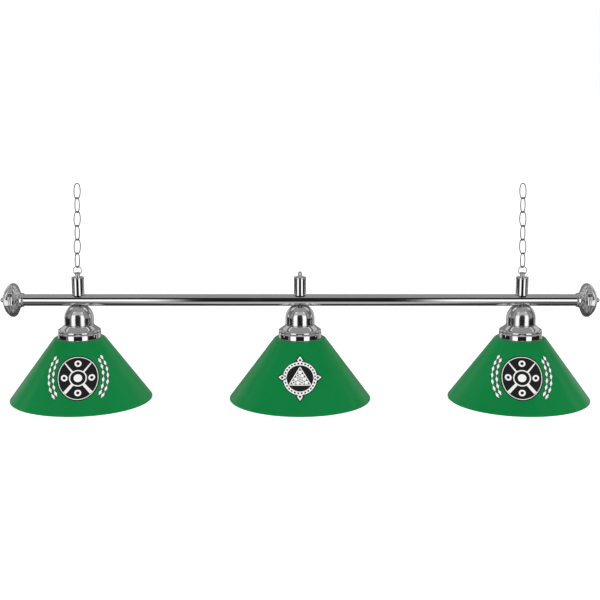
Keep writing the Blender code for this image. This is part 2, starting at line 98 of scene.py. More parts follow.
def rounded(corners, closed=True, steps=5):
    """An outline through corners (r, z) or (r, z, size): a corner with a size is rounded over that length."""
    points = []
    count = len(corners)
    for i, (r, z, *size) in enumerate(corners):
        if not size or (not closed and i in (0, count - 1)):
            points.append((r, z))
            continue
        corner = Vector((r, z))
        towards = [Vector(corners[(i + step) % count][:2]) - corner for step in (-1, 1)]
        start, end = (corner + edge.normalized() * min(size[0], edge.length * 0.48) for edge in towards)
        for k in range(steps + 1):
            t = k / steps
            point = start * (1 - t) ** 2 + corner * 2 * t * (1 - t) + end * t**2
            points.append(tuple(point))
    return points


def finished(name, bm, place):
    """A smooth-shaded mesh, put in its place in metres."""
    bmesh.ops.recalc_face_normals(bm, faces=bm.faces)
    bm.transform(place @ Matrix.Scale(MM, 4))
    mesh = bpy.data.meshes.new(name)
    bm.to_mesh(mesh)
    bm.free()
    mesh.shade_smooth()
    mesh.set_sharp_from_angle(angle=SHARP)
    return mesh


def turned(name, outline, place, sides=SIDES, closed=True, wave=None, inside_from=None):
    """A solid of revolution in millimetres. wave(r, z, angle) may change a point's radius.
    Faces past outline point inside_from take the second material."""
    bm = bmesh.new()
    rings = []
    for r, z in outline:
        if abs(r) < 1e-6:
            rings.append([bm.verts.new((0, 0, z))] * sides)
            continue
        ring = []
        for i in range(sides):
            angle = math.tau * i / sides
            radius = wave(r, z, angle) if wave else r
            ring.append(bm.verts.new((radius * math.cos(angle), radius * math.sin(angle), z)))
        rings.append(ring)
    spans = len(rings) if closed else len(rings) - 1
    for k in range(spans):
        upper, lower = rings[k], rings[(k + 1) % len(rings)]
        for i in range(sides):
            j = (i + 1) % sides
            corners = list(dict.fromkeys((upper[i], upper[j], lower[j], lower[i])))
            face = bm.faces.new(corners)
            face.material_index = int(inside_from is not None and k >= inside_from)
    return finished(name, bm, place)


def swept_ring(name, path, radius, place, sides=14, bead=None):
    """A closed wire along a flat path in the XZ plane. bead is (index, half width, extra) of a weld's bulge."""
    bm = bmesh.new()
    count = len(path)
    rings = []
    for k, (x, z) in enumerate(path):
        before, after = Vector(path[k - 1]), Vector(path[(k + 1) % count])
        along = (after - before).normalized()
        outwards = Vector((along.y, -along.x))
        thick = radius
        if bead:
            thick += bead[2] * math.exp(-(((k - bead[0]) / bead[1]) ** 2))
        ring = []
        for i in range(sides):
            angle = math.tau * i / sides
            across = outwards * (math.cos(angle) * thick)
            ring.append(bm.verts.new((x + across.x, math.sin(angle) * thick, z + across.y)))
        rings.append(ring)
    for k in range(count):
        near, far = rings[k], rings[(k + 1) % count]
        for i in range(sides):
            j = (i + 1) % sides
            bm.faces.new((near[i], near[j], far[j], far[i]))
    return finished(name, bm, place)


def shown(name, mesh, materials):
    obj = bpy.data.objects.new(name, mesh)
    bpy.context.scene.collection.objects.link(obj)
    for material in materials:
        mesh.materials.append(material)
    return obj


def combined(obj, other_mesh, operation):
    """obj with the other mesh cut out of it or joined to it."""
    other = bpy.data.objects.new("tool", other_mesh)
    bpy.context.scene.collection.objects.link(other)
    boolean = obj.modifiers.new("tool", "BOOLEAN")
    boolean.operation = operation
    boolean.object = other
    graph = bpy.context.evaluated_depsgraph_get()
    mesh = bpy.data.meshes.new_from_object(obj.evaluated_get(graph))
    obj.modifiers.clear()
    obj.data = mesh
    mesh.set_sharp_from_angle(angle=SHARP)
    bpy.data.objects.remove(other)
    return obj


def thickened(obj, wall):
    """Turns a surface into a sheet whose wall grows inwards."""
    solidify = obj.modifiers.new("wall", "SOLIDIFY")
    solidify.thickness = wall * MM
    solidify.offset = -1
    solidify.use_even_offset = True
    return obj


def stand_for(node, obj):
    """obj shows this CAD node, which is hidden, and moves with its body."""
    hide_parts(node)
    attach(obj, BODY_OF[node])
    return obj


# ---------------------------------------------------------------- materials


class Look:
    """A Principled material with helpers for what varies over its surface."""

    def __init__(self, name, colour, roughness, **sockets):
        self.material = bpy.data.materials.new(name)
        self.material.use_nodes = True
        self.nodes = self.material.node_tree.nodes
        self.links = self.material.node_tree.links
        self.shader = self.nodes["Principled BSDF"]
        self.colour = colour
        self.shader.inputs["Base Color"].default_value = (*colour, 1)
        self.shader.inputs["Roughness"].default_value = roughness
        for socket, value in sockets.items():
            self.shader.inputs[socket.replace("_", " ")].default_value = value
        self.place = self.nodes.new("ShaderNodeTexCoord").outputs["Object"]

    def noise(self, scale, detail=4.0, stretch=(1, 1, 1), rough=0.55):
        mapping = self.nodes.new("ShaderNodeMapping")
        mapping.inputs["Scale"].default_value = stretch
        self.links.new(self.place, mapping.inputs["Vector"])
        texture = self.nodes.new("ShaderNodeTexNoise")
        texture.inputs["Scale"].default_value = scale
        texture.inputs["Detail"].default_value = detail
        texture.inputs["Roughness"].default_value = rough
        self.links.new(mapping.outputs["Vector"], texture.inputs["Vector"])
        return texture.outputs["Fac"]

    def spread(self, factor, low, high, start=0.35, end=0.65):
        """A number between low and high, as factor goes from start to end."""
        reach = self.nodes.new("ShaderNodeMapRange")
        reach.inputs["From Min"].default_value = start
        reach.inputs["From Max"].default_value = end
        reach.inputs["To Min"].default_value = low
        reach.inputs["To Max"].default_value = high
        self.links.new(factor, reach.inputs["Value"])
        return reach.outputs["Result"]

    def vary_roughness(self, factor, low, high, start=0.35, end=0.65):
        self.links.new(self.spread(factor, low, high, start, end), self.shader.inputs["Roughness"])
        return self

    def vary_colour(self, factor, other, start=0.35, end=0.65):
        """Blends towards the other colour where factor is high."""
        mix = self.nodes.new("ShaderNodeMix")
        mix.data_type = "RGBA"
        mix.inputs["A"].default_value = (*self.colour, 1)
        mix.inputs["B"].default_value = (*other, 1)
        self.links.new(self.spread(factor, 0, 1, start, end), mix.inputs["Factor"])
        self.links.new(mix.outputs["Result"], self.shader.inputs["Base Color"])
        return self

    def bump(self, *heights):
        """Each height is (factor, depth in millimetres)."""
        normal = None
        for factor, depth in heights:
            node = self.nodes.new("ShaderNodeBump")
            node.inputs["Distance"].default_value = depth * MM
            self.links.new(factor, node.inputs["Height"])
            if normal:
                self.links.new(normal, node.inputs["Normal"])
            normal = node.outputs["Normal"]
        self.links.new(normal, self.shader.inputs["Normal"])
        return self


def chrome(name, colour, stretch, haze, clear=0.03, depth=0.004):
    """Bright plate: faint polishing lines along stretch, breath-like haze and a few dull specks."""
    look = Look(name, colour, 0.05, Metallic=1.0)
    lines = look.noise(260, 3, stretch)
    smudges = look.noise(14, 5)
    look.vary_roughness(smudges, clear, haze, 0.45, 0.72)
    look.vary_colour(look.noise(420, 2), tuple(c * 0.9 for c in colour), 0.62, 0.78)
    return look.bump((lines, depth)).material


def green_acrylic():
    """Moulded acrylic: dyed through, glossy, with the slightest waviness and fine handling marks."""
    look = Look("green_acrylic", (0.0026, 0.184, 0.0425), 0.2, IOR=1.49, Specular_IOR_Level=0.09)
    look.vary_colour(look.noise(7, 3), (0.0046, 0.201, 0.049), 0.35, 0.75)
    look.vary_roughness(look.noise(30, 6), 0.17, 0.28, 0.4, 0.7)
    return look.bump((look.noise(26, 1), 0.12), (look.noise(900, 2), 0.004)).material


def white_lining():
    """The white inner skin of a shade, a little warmer and duller in random patches."""
    look = Look("white_lining", (0.84, 0.84, 0.82), 0.38, IOR=1.49, Specular_IOR_Level=0.35)
    look.vary_colour(look.noise(9, 4), (0.79, 0.785, 0.755), 0.45, 0.75)
    look.vary_roughness(look.noise(60, 4), 0.3, 0.5)
    return look.bump((look.noise(240, 3), 0.03)).material


def ink(name, colour, worn):
    """Screen-printed ink: flat, with the grain of the mesh and thin spots."""
    look = Look(name, colour, 0.4, Specular_IOR_Level=0.25)
    look.vary_colour(look.noise(1100, 3), worn, 0.58, 0.82)
    look.vary_roughness(look.noise(90, 4), 0.3, 0.5)
    return look.bump((look.noise(1500, 2), 0.012)).material


def ceramic():
    look = Look("white_ceramic", (0.82, 0.81, 0.77), 0.2, Coat_Weight=0.6, Coat_Roughness=0.08)
    look.vary_colour(look.noise(160, 5), (0.72, 0.7, 0.65), 0.58, 0.8)
    look.vary_roughness(look.noise(45, 3), 0.14, 0.34)
    return look.bump((look.noise(70, 2), 0.05), (look.noise(800, 3), 0.01)).material


def phenolic():
    look = Look("black_phenolic", (0.018, 0.018, 0.02), 0.42, Specular_IOR_Level=0.45)
    look.vary_colour(look.noise(340, 4), (0.04, 0.038, 0.036), 0.55, 0.8)
    look.vary_roughness(look.noise(120, 5), 0.3, 0.55)
    return look.bump((look.noise(700, 3), 0.02)).material


def zinc():
    look = Look("zinc_steel", (0.6, 0.6, 0.58), 0.34, Metallic=1.0)
    look.vary_colour(look.noise(130, 6), (0.46, 0.46, 0.47), 0.5, 0.72)
    look.vary_roughness(look.noise(80, 5), 0.26, 0.5)
    return look.bump((look.noise(600, 4), 0.015)).material


def stamped(name, colour, tarnish):
    """Thin rolled metal, such as the bulb's base: drawn lines round it and a little tarnish."""
    look = Look(name, colour, 0.25, Metallic=1.0)
    look.vary_colour(look.noise(90, 5), tarnish, 0.5, 0.78)
    look.vary_roughness(look.noise(200, 4, (0.15, 0.15, 3)), 0.18, 0.4)
    return look.bump((look.noise(500, 2, (0.1, 0.1, 4)), 0.01)).material


def frosted_glass():
    look = Look("frosted_glass", (0.93, 0.93, 0.91), 0.42, IOR=1.5, Transmission_Weight=0.35)
    look.vary_roughness(look.noise(55, 5), 0.34, 0.52)
    look.vary_colour(look.noise(12, 3), (0.88, 0.88, 0.86), 0.5, 0.8)
    return look.bump((look.noise(1600, 2), 0.01)).material


def wire_jacket():
    look = Look("wire_jacket", (0.74, 0.73, 0.69), 0.5)
    look.vary_colour(look.noise(60, 4), (0.62, 0.6, 0.55), 0.5, 0.75)
    look.vary_roughness(look.noise(150, 3), 0.42, 0.6)
    return look.bump((look.noise(400, 2), 0.03)).material


LOOKS = {
    "bar_chrome": chrome("bar_chrome", (0.8, 0.8, 0.81), (0.04, 1, 1), 0.075),
    "trim_chrome": chrome("trim_chrome", (0.8, 0.8, 0.81), (0.5, 0.5, 2), 0.07),
    "end_chrome": chrome("end_chrome", (0.8, 0.8, 0.81), (3, 0.25, 0.25), 0.07, depth=0.0012),
    "spun_chrome": chrome("spun_chrome", (0.77, 0.77, 0.78), (0.2, 0.2, 3), 0.22, 0.13),
    # The chain's plate colour is set darker than the other chrome: painted shade, so the thin links read darker.
    "chain_chrome": chrome("chain_chrome", (0.42, 0.42, 0.43), (1, 1, 1), 0.16),
    "green_acrylic": green_acrylic(),
    "white_lining": white_lining(),
    "black_ink": ink("black_ink", (0.008, 0.008, 0.009), (0.03, 0.032, 0.03)),
    "white_ink": ink("white_ink", (0.86, 0.86, 0.85), (0.7, 0.72, 0.7)),
    "white_ceramic": ceramic(),
    "black_plastic": phenolic(),
    "zinc_steel": zinc(),
    "brass": stamped("brass", (0.72, 0.52, 0.22), (0.5, 0.34, 0.15)),
    "bulb_nickel": stamped("bulb_nickel", (0.68, 0.66, 0.62), (0.5, 0.47, 0.42)),
    "bulb_glass": frosted_glass(),
    "wire": wire_jacket(),
}


def look_of(node):
    return LOOKS[SLOT_OF[node]]


def made(node, mesh, wall=None, extra=(), look=None):
    """The piece that shows a CAD node, as a sheet if it has a wall."""
    obj = shown(f"{node}_skin", mesh, [look or look_of(node), *extra])
    if wall:
        thickened(obj, wall)
    return obj


# ---------------------------------------------------------------- chain

LINK_WIRE = 1.4  # radius
LINK_HALF = (9.35, 19.05)  # of the wire's centre line
LINK_OVAL = 2.3
LINK_POINTS = 80
LINK_TWIST = math.radians(45.8)
CHAIN_LEAN = math.radians(1.75)


def link_path():
    path = []
    for i in range(LINK_POINTS):
        angle = math.tau * i / LINK_POINTS
        across, up = math.cos(angle), math.sin(angle)
        x = math.copysign(abs(across) ** (2 / LINK_OVAL), across) * LINK_HALF[0]
        z = math.copysign(abs(up) ** (2 / LINK_OVAL), up) * LINK_HALF[1]
        path.append((x, z))
    return path


def make_chains():
    for end, side in ENDS.items():
        for number in LINKS:
            node = f"{end}_chain_link_{number}"
            twist = LINK_TWIST - math.radians(90) * ((number - 1) % 2)
            place = Matrix.Translation(middle(node)) @ Matrix.Rotation(-side * CHAIN_LEAN, 4, "Y")
            place = place @ Matrix.Rotation(-side * twist, 4, "Z")
            weld = (LINK_POINTS / 2, 2.2, 0.12)
            stand_for(node, made(node, swept_ring(node, link_path(), LINK_WIRE, place, bead=weld)))


# ---------------------------------------------------------------- bar and ends

BAR_RADIUS = 15.0
BAR_WALL = 1.5
ROD_HOLE = 5.3
RIM = (43.0, 729.2)
CAP_WALL = 1.4


def hole(radius, place):
    outline = [(0, 60), (radius, 60), (radius, -60), (0, -60)]
    return turned("hole", outline, place, SMALL_SIDES, closed=False)


def make_bar():
    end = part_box("bar_tube")[1][0] / MM
    inner = BAR_RADIUS - BAR_WALL
    outside = [(BAR_RADIUS, end, 0.5), (BAR_RADIUS, end - 2), (BAR_RADIUS, 2 - end), (BAR_RADIUS, -end, 0.5)]
    corners = [*outside, (inner, -end, 0.4), (inner, end, 0.4)]
    bar = made("bar_tube", turned("bar_tube", rounded(corners), along_bar(1)))
    for name in LAMPS:
        combined(bar, hole(ROD_HOLE, over_lamp(name)), "DIFFERENCE")
    return stand_for("bar_tube", bar)


def make_end(end, side):
    place = along_bar(side)
    polish = LOOKS["end_chrome"]
    bell = rounded(
        [(RIM[0], RIM[1]), (RIM[0], 724.4, 4), (37.8, 718.6, 3), (32.6, 717.6, 1.2), (30.6, 715.2, 1.5),
         (22, 713.6, 6), (17.6, 706, 4), (17.6, 702.2)], closed=False,
    )
    bell_mesh = turned("bell", bell, place, closed=False)
    stand_for(f"{end}_end_bell", made(f"{end}_end_bell", bell_mesh, CAP_WALL, look=polish))
    dome = rounded(
        [(3.2, 753.8), (9, 753.8, 2), (11.5, 753.0, 1), (16.5, 752.2, 3), (32.2, 745.6, 12), (RIM[0], 733.2, 5),
         (RIM[0], 729.6), (41.6, 729.6), (41.6, 733, 4), (31.2, 744, 12), (16, 750.4), (13.1, 750.4),
         (13.1, 722, 0.6), (10.1, 722, 0.6), (10.1, 749.8), (3.2, 749.8)]
    )
    stand_for(f"{end}_end_dome", made(f"{end}_end_dome", turned("dome", dome, place), look=polish))
    stem = rounded([(5.6, 754.1), (2.9, 754.1), (2.9, 734, 0.4), (0, 734)], closed=False)
    ball = [*arc((0, 755.2), 6.8, 90, -9, 14), *stem]
    ball_mesh = turned("ball", ball, place, SMALL_SIDES, closed=False)
    stand_for(f"{end}_finial_ball", made(f"{end}_finial_ball", ball_mesh))


# ---------------------------------------------------------------- above the bar

POST_RADIUS = 15.8
POST_TOP = 59.5
BEAD = 0.5


def make_post(name):
    wide = POST_RADIUS + BEAD
    post = rounded(
        [(ROD_HOLE, POST_TOP), (wide, POST_TOP, 1.3), (wide, POST_TOP - 2.6, 0.9), (POST_RADIUS, POST_TOP - 3.2, 0.6),
         (POST_RADIUS, 16.6, 0.6), (wide, 16, 0.8), (wide, 13.6)], closed=False,
    )
    obj = made(f"{name}_post", turned("post", post, over_lamp(name), closed=False), 1.4)
    saddle = turned("saddle", [(0, 60), (15.3, 60), (15.3, -60), (0, -60)], lying(name), closed=False)
    combined(obj, saddle, "DIFFERENCE")
    if name == "center":
        behind = over_lamp(name) @ Matrix.Translation((0, 0.045, 0.04))
        backwards = behind @ Matrix.Rotation(math.pi / 2, 4, "X")
        hole = turned("hole", [(0, 31), (4.2, 31), (4.2, -31), (0, -31)], backwards, closed=False)
        combined(obj, hole, "DIFFERENCE")
    return stand_for(f"{name}_post", obj)


def lying(name):
    return over_lamp(name) @ Matrix.Rotation(math.pi / 2, 4, "Y")


def make_loop(end):
    node = f"{end}_chain_loop"
    base = POST_TOP + 0.3
    neck = rounded(
        [(0, 71.6), (6.3, 71.6, 1), (7, 70.4, 0.8), (6.6, 68.6, 0.8), (5.7, 67.2, 1.2), (5.9, 62.6, 1.4), (7.2, 61.2, 0.5),
         (7.2, base), (5.1, base), (5.1, 64.8), (0, 64.8)], closed=False,
    )
    obj = made(node, turned(node, neck, over_lamp(end), SMALL_SIDES, closed=False))
    circle = [(10.6 * math.cos(a), 10.6 * math.sin(a)) for a in (math.tau * i / 72 for i in range(72))]
    ring = swept_ring("ring", circle, 1.4, over_lamp(end) @ Matrix.Translation((0, 0, 0.0762)), 16)
    return stand_for(node, combined(obj, ring, "UNION"))


def make_cap_nut():
    node = "center_cap_nut"
    base = POST_TOP + 0.3
    crown = arc((0, 68.9), 5.1, 90, 6, 10)
    rest = [(5.1, 68.9), (5.3, 64.4, 2), (7.4, 61.6, 0.8), (7.4, base), (5.1, base), (5.1, 64.8), (0, 64.8)]
    outline = [*crown, *rounded(rest, closed=False)]
    stand_for(node, made(node, turned(node, outline, over_lamp("center"), SMALL_SIDES, closed=False)))


def make_bushing():
    node = "cord_bushing"
    backwards = Matrix.Translation((0, 0, BAR_Z + 0.04)) @ Matrix.Rotation(-math.pi / 2, 4, "X")
    outline = rounded(
        [(2.6, 18.7, 0.5), (5.2, 18.7, 0.6), (6.2, 17.6, 0.6), (6.2, 16.1), (3.9, 16.1), (3.9, 11.8, 0.3), (2.6, 11.8, 0.3)]
    )
    stand_for(node, made(node, turned(node, outline, backwards, SMALL_SIDES)))


# ---------------------------------------------------------------- under the bar

SHEET = 1.2
CUP_RADIUS = 37.2


def make_cup(name):
    node = f"{name}_cup"
    ball = arc((0, -46), CUP_RADIUS, 55.2, 0, 22)
    outline = rounded([(ROD_HOLE, -15.4), (19.6, -15.4, 1), (21.2, -15.9)], closed=False) + ball[1:]
    outline += rounded([(CUP_RADIUS, -59.8), (CUP_RADIUS, -62.2)], closed=False)
    spun = turned(node, outline, over_lamp(name), closed=False)
    stand_for(node, made(node, spun, SHEET, look=LOOKS["spun_chrome"]))


def make_holder(name):
    node = f"{name}_shade_holder"
    flare = rounded([(37.2, -62.5, 0.4), (37.2, -63.6, 0.5), (39.6, -65.4, 3), (45.6, -70.4, 6), (49.4, -73.4)], closed=False)
    bead = arc((49.6, -78.6), 4.7, 76, -28, 12)
    band = rounded([(53.4, -82.0), (53.9, -83.2, 0.5), (54.9, -84.0, 0.7), (55, -95.2, 0.7), (54.6, -96.1)], closed=False)
    collar = [(35.4, -56.2), (35.4, -62.5)]
    outline = [*collar, *flare, *bead, *band]
    stand_for(node, made(node, turned(node, outline, over_lamp(name), closed=False), SHEET))


SHADE_TOP = (64.4, -96.4)
SHADE_MOUTH = (181.4, -256.4)
SHADE_WALL = 3.0
SHADE_HOLE = 21.0
SHADE_LIP = 1.6
SLOPE = Vector((SHADE_MOUTH[0], SHADE_MOUTH[1] + SHADE_LIP)) - Vector(SHADE_TOP)
DOWN = SLOPE.normalized()
OUT = Vector((-DOWN.y, DOWN.x))


def make_shade(name):
    node = f"{name}_shade"
    inner_top = Vector(SHADE_TOP) - OUT * SHADE_WALL
    steep = DOWN.x / -DOWN.y
    inner_top = (inner_top.x + steep * (inner_top.y - SHADE_TOP[1] + SHADE_WALL), SHADE_TOP[1] - SHADE_WALL)
    mouth_in = (SHADE_MOUTH[0] - SHADE_WALL / -DOWN.y, SHADE_MOUTH[1])
    outer = [(SHADE_HOLE, SHADE_TOP[1], 0.5), (*SHADE_TOP, 3.6)]
    lip = [(SHADE_MOUTH[0], SHADE_MOUTH[1] + SHADE_LIP, 1.2), (*SHADE_MOUTH, 0.9)]
    inner = [(*mouth_in, 0.9), (*inner_top, 4), (SHADE_HOLE, inner_top[1], 0.5)]
    outline = rounded([*outer, *lip, *inner])
    inside_from = len(rounded([*outer, *lip])) + 3
    mesh = turned(node, outline, over_lamp(name), 192, inside_from=inside_from)
    shade = stand_for(node, made(node, mesh, extra=[LOOKS["white_lining"]]))
    shade.visible_glossy = False


def make_ring_nut(name):
    node = f"{name}_ring_nut"
    bore = 20.1
    outline = rounded(
        [(bore, -99.7), (27, -99.7, 0.4), (27, -103.4, 0.9), (24.4, -106.3, 0.8), (bore, -106.3, 0.4)], steps=4
    )

    def ribs(r, z, angle):
        return r - 0.55 * (0.5 + 0.5 * math.cos(24 * angle)) ** 3 if r > 24.5 else r

    stand_for(node, made(node, turned(node, outline, over_lamp(name), 192, wave=ribs)))


def make_socket(name):
    node = f"{name}_socket_body"
    outline = rounded(
        [(5.1, -50), (10, -50, 0.8), (10, -57.6, 1.5), (17.4, -59.6, 1.6), (19.8, -63, 1.6), (19.8, -70, 0.4),
         (19.2, -70.8, 0.4), (19.8, -71.6, 0.4), (19.8, -108, 0.8), (15.2, -108, 0.8), (15.2, -78), (3.6, -78),
         (3.6, -65.3), (5.1, -65.3)]
    )
    stand_for(node, made(node, turned(node, outline, over_lamp(name))))


THREAD_PITCH = 3.63
THREAD = (-88.6, -104.6)


def make_bulb(name):
    node = f"{name}_bulb_glass"
    globe = arc((0, -160.5), 30, 30, -90, 40)
    neck = rounded([(11.9, -101.5), (11.9, -112.5, 4), (16.4, -129, 9), (globe[0][0] - 1.2, -143.8)], closed=False, steps=10)
    outline = [*neck, *globe[:-1], (0, -190.5)]
    stand_for(node, made(node, turned(node, outline, over_lamp(name), 72, closed=False), 0.9))

    def thread(r, z, angle):
        top, bottom = THREAD
        if r < 12.6 or not bottom < z < top:
            return r
        fade = min(1, (top - z) / 1.5, (z - bottom) / 1.5)
        return r - 0.45 * fade * (0.5 - 0.5 * math.cos(angle - math.tau * z / THREAD_PITCH))

    node = f"{name}_bulb_base"
    steps = 56
    rolled = [(13.1, THREAD[0] + (THREAD[1] - THREAD[0]) * i / steps) for i in range(steps + 1)]
    shoulder = rounded([(0, -83.3), (5.5, -83.3, 0.6), (12.4, -86.6, 0.8), (13.1, -88.2)], closed=False)
    tail = [(13.1, -109.5), (12.5, -109.5), (12.5, -90.3), (9, -87.7), (0, -87.7)]
    mesh = turned(node, [*shoulder, *rolled, *tail], over_lamp(name), 72, closed=False, wave=thread)
    stand_for(node, made(node, mesh))


# ---------------------------------------------------------------- printed emblems

PRINT_MIDDLE = 0.492 * SLOPE.length  # down the shade's side
INK = 0.12
LAYER = 0.17
FACING = {"left": 7, "center": 0, "right": -7}  # degrees from the front, towards the lamp's middle


class Print:
    """Flat shapes laid on a shade's cone. u runs right and v up, in millimetres from the print's middle."""

    def __init__(self):
        self.bm = bmesh.new()

    def grid(self, rows, layer, closed=False):
        """Faces between rows of (u, v) points, on the given layer of ink."""
        made_rows = [[self.bm.verts.new((u, v, layer)) for u, v in row] for row in rows]
        for near, far in zip(made_rows, made_rows[1:]):
            count = len(near)
            for i in range(count if closed else count - 1):
                j = (i + 1) % count
                self.bm.faces.new((near[i], near[j], far[j], far[i]))

    def ring(self, centre, outer, inner, layer, sides=72, rows=3):
        """A ring between two ellipses, or a disc if inner is nearly nothing."""
        lines = []
        for k in range(rows + 1):
            a, b = (outer[n] + (inner[n] - outer[n]) * k / rows for n in (0, 1))
            angles = [math.tau * i / sides for i in range(sides)]
            lines.append([(centre[0] + a * math.cos(t), centre[1] + b * math.sin(t)) for t in angles])
        self.grid(lines, layer, closed=True)

    def disc(self, centre, size, layer, sides=48, rows=6):
        self.ring(centre, size, (size[0] * 0.02, size[1] * 0.02), layer, sides, rows)

    def taper(self, start, end, widths, layer, steps=16):
        """A straight stroke whose width runs through the given widths."""
        start, end = Vector(start), Vector(end)
        along = (end - start).normalized()
        across = Vector((-along.y, along.x))
        lines = []
        for k in range(steps + 1):
            t = k / steps * (len(widths) - 1)
            n = min(int(t), len(widths) - 2)
            width = widths[n] + (widths[n + 1] - widths[n]) * (t - n)
            point = start.lerp(end, k / steps)
            lines.append([tuple(point + across * (width * s)) for s in (-0.5, 0, 0.5)])
        self.grid(lines, layer)

    def diamond(self, centre, size, tilt, layer):
        """Long axis size[0] at that tilt in degrees, width size[1]."""
        long = Vector((math.cos(math.radians(tilt)), math.sin(math.radians(tilt)))) * size[0] / 2
        middle_point = Vector(centre)
        self.taper(middle_point - long, middle_point + long, (0.05, size[1], 0.05), layer, 8)

    def laid_on(self, name, colour, layers_apart=LAYER):
        """The shapes wrapped on that lamp's shade."""
        facing = math.radians(FACING[name] - 90)
        for vert in self.bm.verts:
            u, v, layer = vert.co
            lift = OUT * (0.08 + layers_apart * layer)
            on_side = Vector(SHADE_TOP) + DOWN * (PRINT_MIDDLE - v)
            angle = facing + u / on_side.x
            spot = on_side + lift
            vert.co = (spot.x * math.cos(angle), spot.x * math.sin(angle), spot.y)
        mesh = finished(f"{name}_{colour}_print", self.bm, over_lamp(name))
        obj = shown(f"{name}_{colour}_print", mesh, [LOOKS[f"{colour}_ink"]])
        solidify = obj.modifiers.new("ink", "SOLIDIFY")
        solidify.thickness = INK * MM
        solidify.offset = 0
        obj.visible_glossy = False
        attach(obj, BODY_OF[f"{name}_shade"])


def crossed_cues_print(name):
    """Crossed cues behind a ball on a black oval, between two curved double rows of table sights."""
    black, white = Print(), Print()
    black.disc((0, 0), (54, 60), 0, 96, 14)
    white.ring((0, 0), (51, 57), (49.2, 55.2), 1, 96, 1)
    for side in (-1, 1):
        tip, butt = (side * 33, 40), (-side * 33, -40)
        white.taper(butt, tip, (8.4, 7, 4.8, 3.2), 1 if side > 0 else 2)
        for row, heights in ((77, (-50, -34, -17, 0, 17, 34, 50)), (64, (-42, -26, -9, 9, 26, 42))):
            for height in heights:
                out = row * math.sqrt(1 - (height / 84) ** 2)
                tilt = side * (90 + height * 0.7)
                black.diamond((side * out, height), (21, 11.5), tilt, 1)
                white.diamond((side * out, height), (17, 8.2), tilt, 2)
        white.disc((side * 34, 0), (8.6, 8.6), 2)
        black.disc((side * 34, 0), (4, 4), 3)
    for height in (-39, 39):
        white.disc((0, height), (8.6, 8.6), 2)
        black.disc((0, height), (4, 4), 3)
    white.disc((0, 0), (22, 22), 3)
    black.disc((0, 0), (18.8, 18.8), 4)
    white.disc((0, 0), (10.5, 10.5), 5)
    black.laid_on(name, "black")
    white.laid_on(name, "white")


def racked_balls_print(name):
    """A triangle of racked balls inside a dotted ring, with a table sight at each quarter."""
    black, white = Print(), Print()
    black.disc((0, 0), (45, 46.5), 0, 96, 12)
    for u, v, tilt, length in ((0, 48.5, 90, 22), (0, -48.5, 90, 22), (-45, 0, 0, 20), (45, 0, 0, 20)):
        black.diamond((u, v), (length + 8, 22), tilt, 1)
        white.diamond((u, v), (length, 15), tilt, 2)
        black.disc((u, v), (3, 3), 3)
    white.ring((0, 0), (42.8, 44.2), (33.4, 34.8), 1, 96, 3)
    for i in range(28):
        angle = math.tau * (i + 0.5) / 28
        black.disc((38.1 * math.cos(angle), 39.5 * math.sin(angle)), (2.3, 2.3), 2, 20, 2)
    corners = [(0, 30), (-27, -18), (27, -18)]
    for start, end in zip(corners, corners[1:] + corners[:1]):
        white.taper(start, end, (2.6, 2.6), 1)
    for row in range(4):
        for n in range(row + 1):
            spot = ((n - row / 2) * 10.4, 16 - row * 9.2)
            white.disc(spot, (4.9, 4.9), 2, 28, 3)
            if (row + n) % 2:
                black.disc(spot, (2, 2), 3, 20, 2)
    black.laid_on(name, "black")
    white.laid_on(name, "white")


# ---------------------------------------------------------------- studio

CAMERA_DISTANCE = 3.018
CAMERA_ELEVATION = math.radians(10.5)
CAMERA_LENS = 71.2
FLOOR_Z = -3.6
AROUND = 0.99  # brightness that lights everything evenly
BEHIND = 1.9  # and a stronger one from the back, for the edges


def make_camera():
    camera = bpy.data.objects.new("camera", bpy.data.cameras.new("camera"))
    bpy.context.scene.collection.objects.link(camera)
    back = Vector((0, -math.cos(CAMERA_ELEVATION), math.sin(CAMERA_ELEVATION)))
    camera.location = Vector((0, 0, BAR_Z)) + back * CAMERA_DISTANCE
    camera.rotation_euler = (math.pi / 2 - CAMERA_ELEVATION, 0, 0)
    camera.data.lens = CAMERA_LENS
    camera.data.sensor_width = 36
    bpy.context.scene.camera = camera


def make_floor():
    bm = bmesh.new()
    bmesh.ops.create_grid(bm, x_segments=1, y_segments=1, size=300)
    floor_mesh = bpy.data.meshes.new("floor")
    bm.to_mesh(floor_mesh)
    bm.free()
    look = Look("pale_floor", (0.97, 0.97, 0.97), 0.9, Specular_IOR_Level=0.0)
    floor = shown("floor", floor_mesh, [look.material])
    floor.location.z = FLOOR_Z
    floor.visible_glossy = False


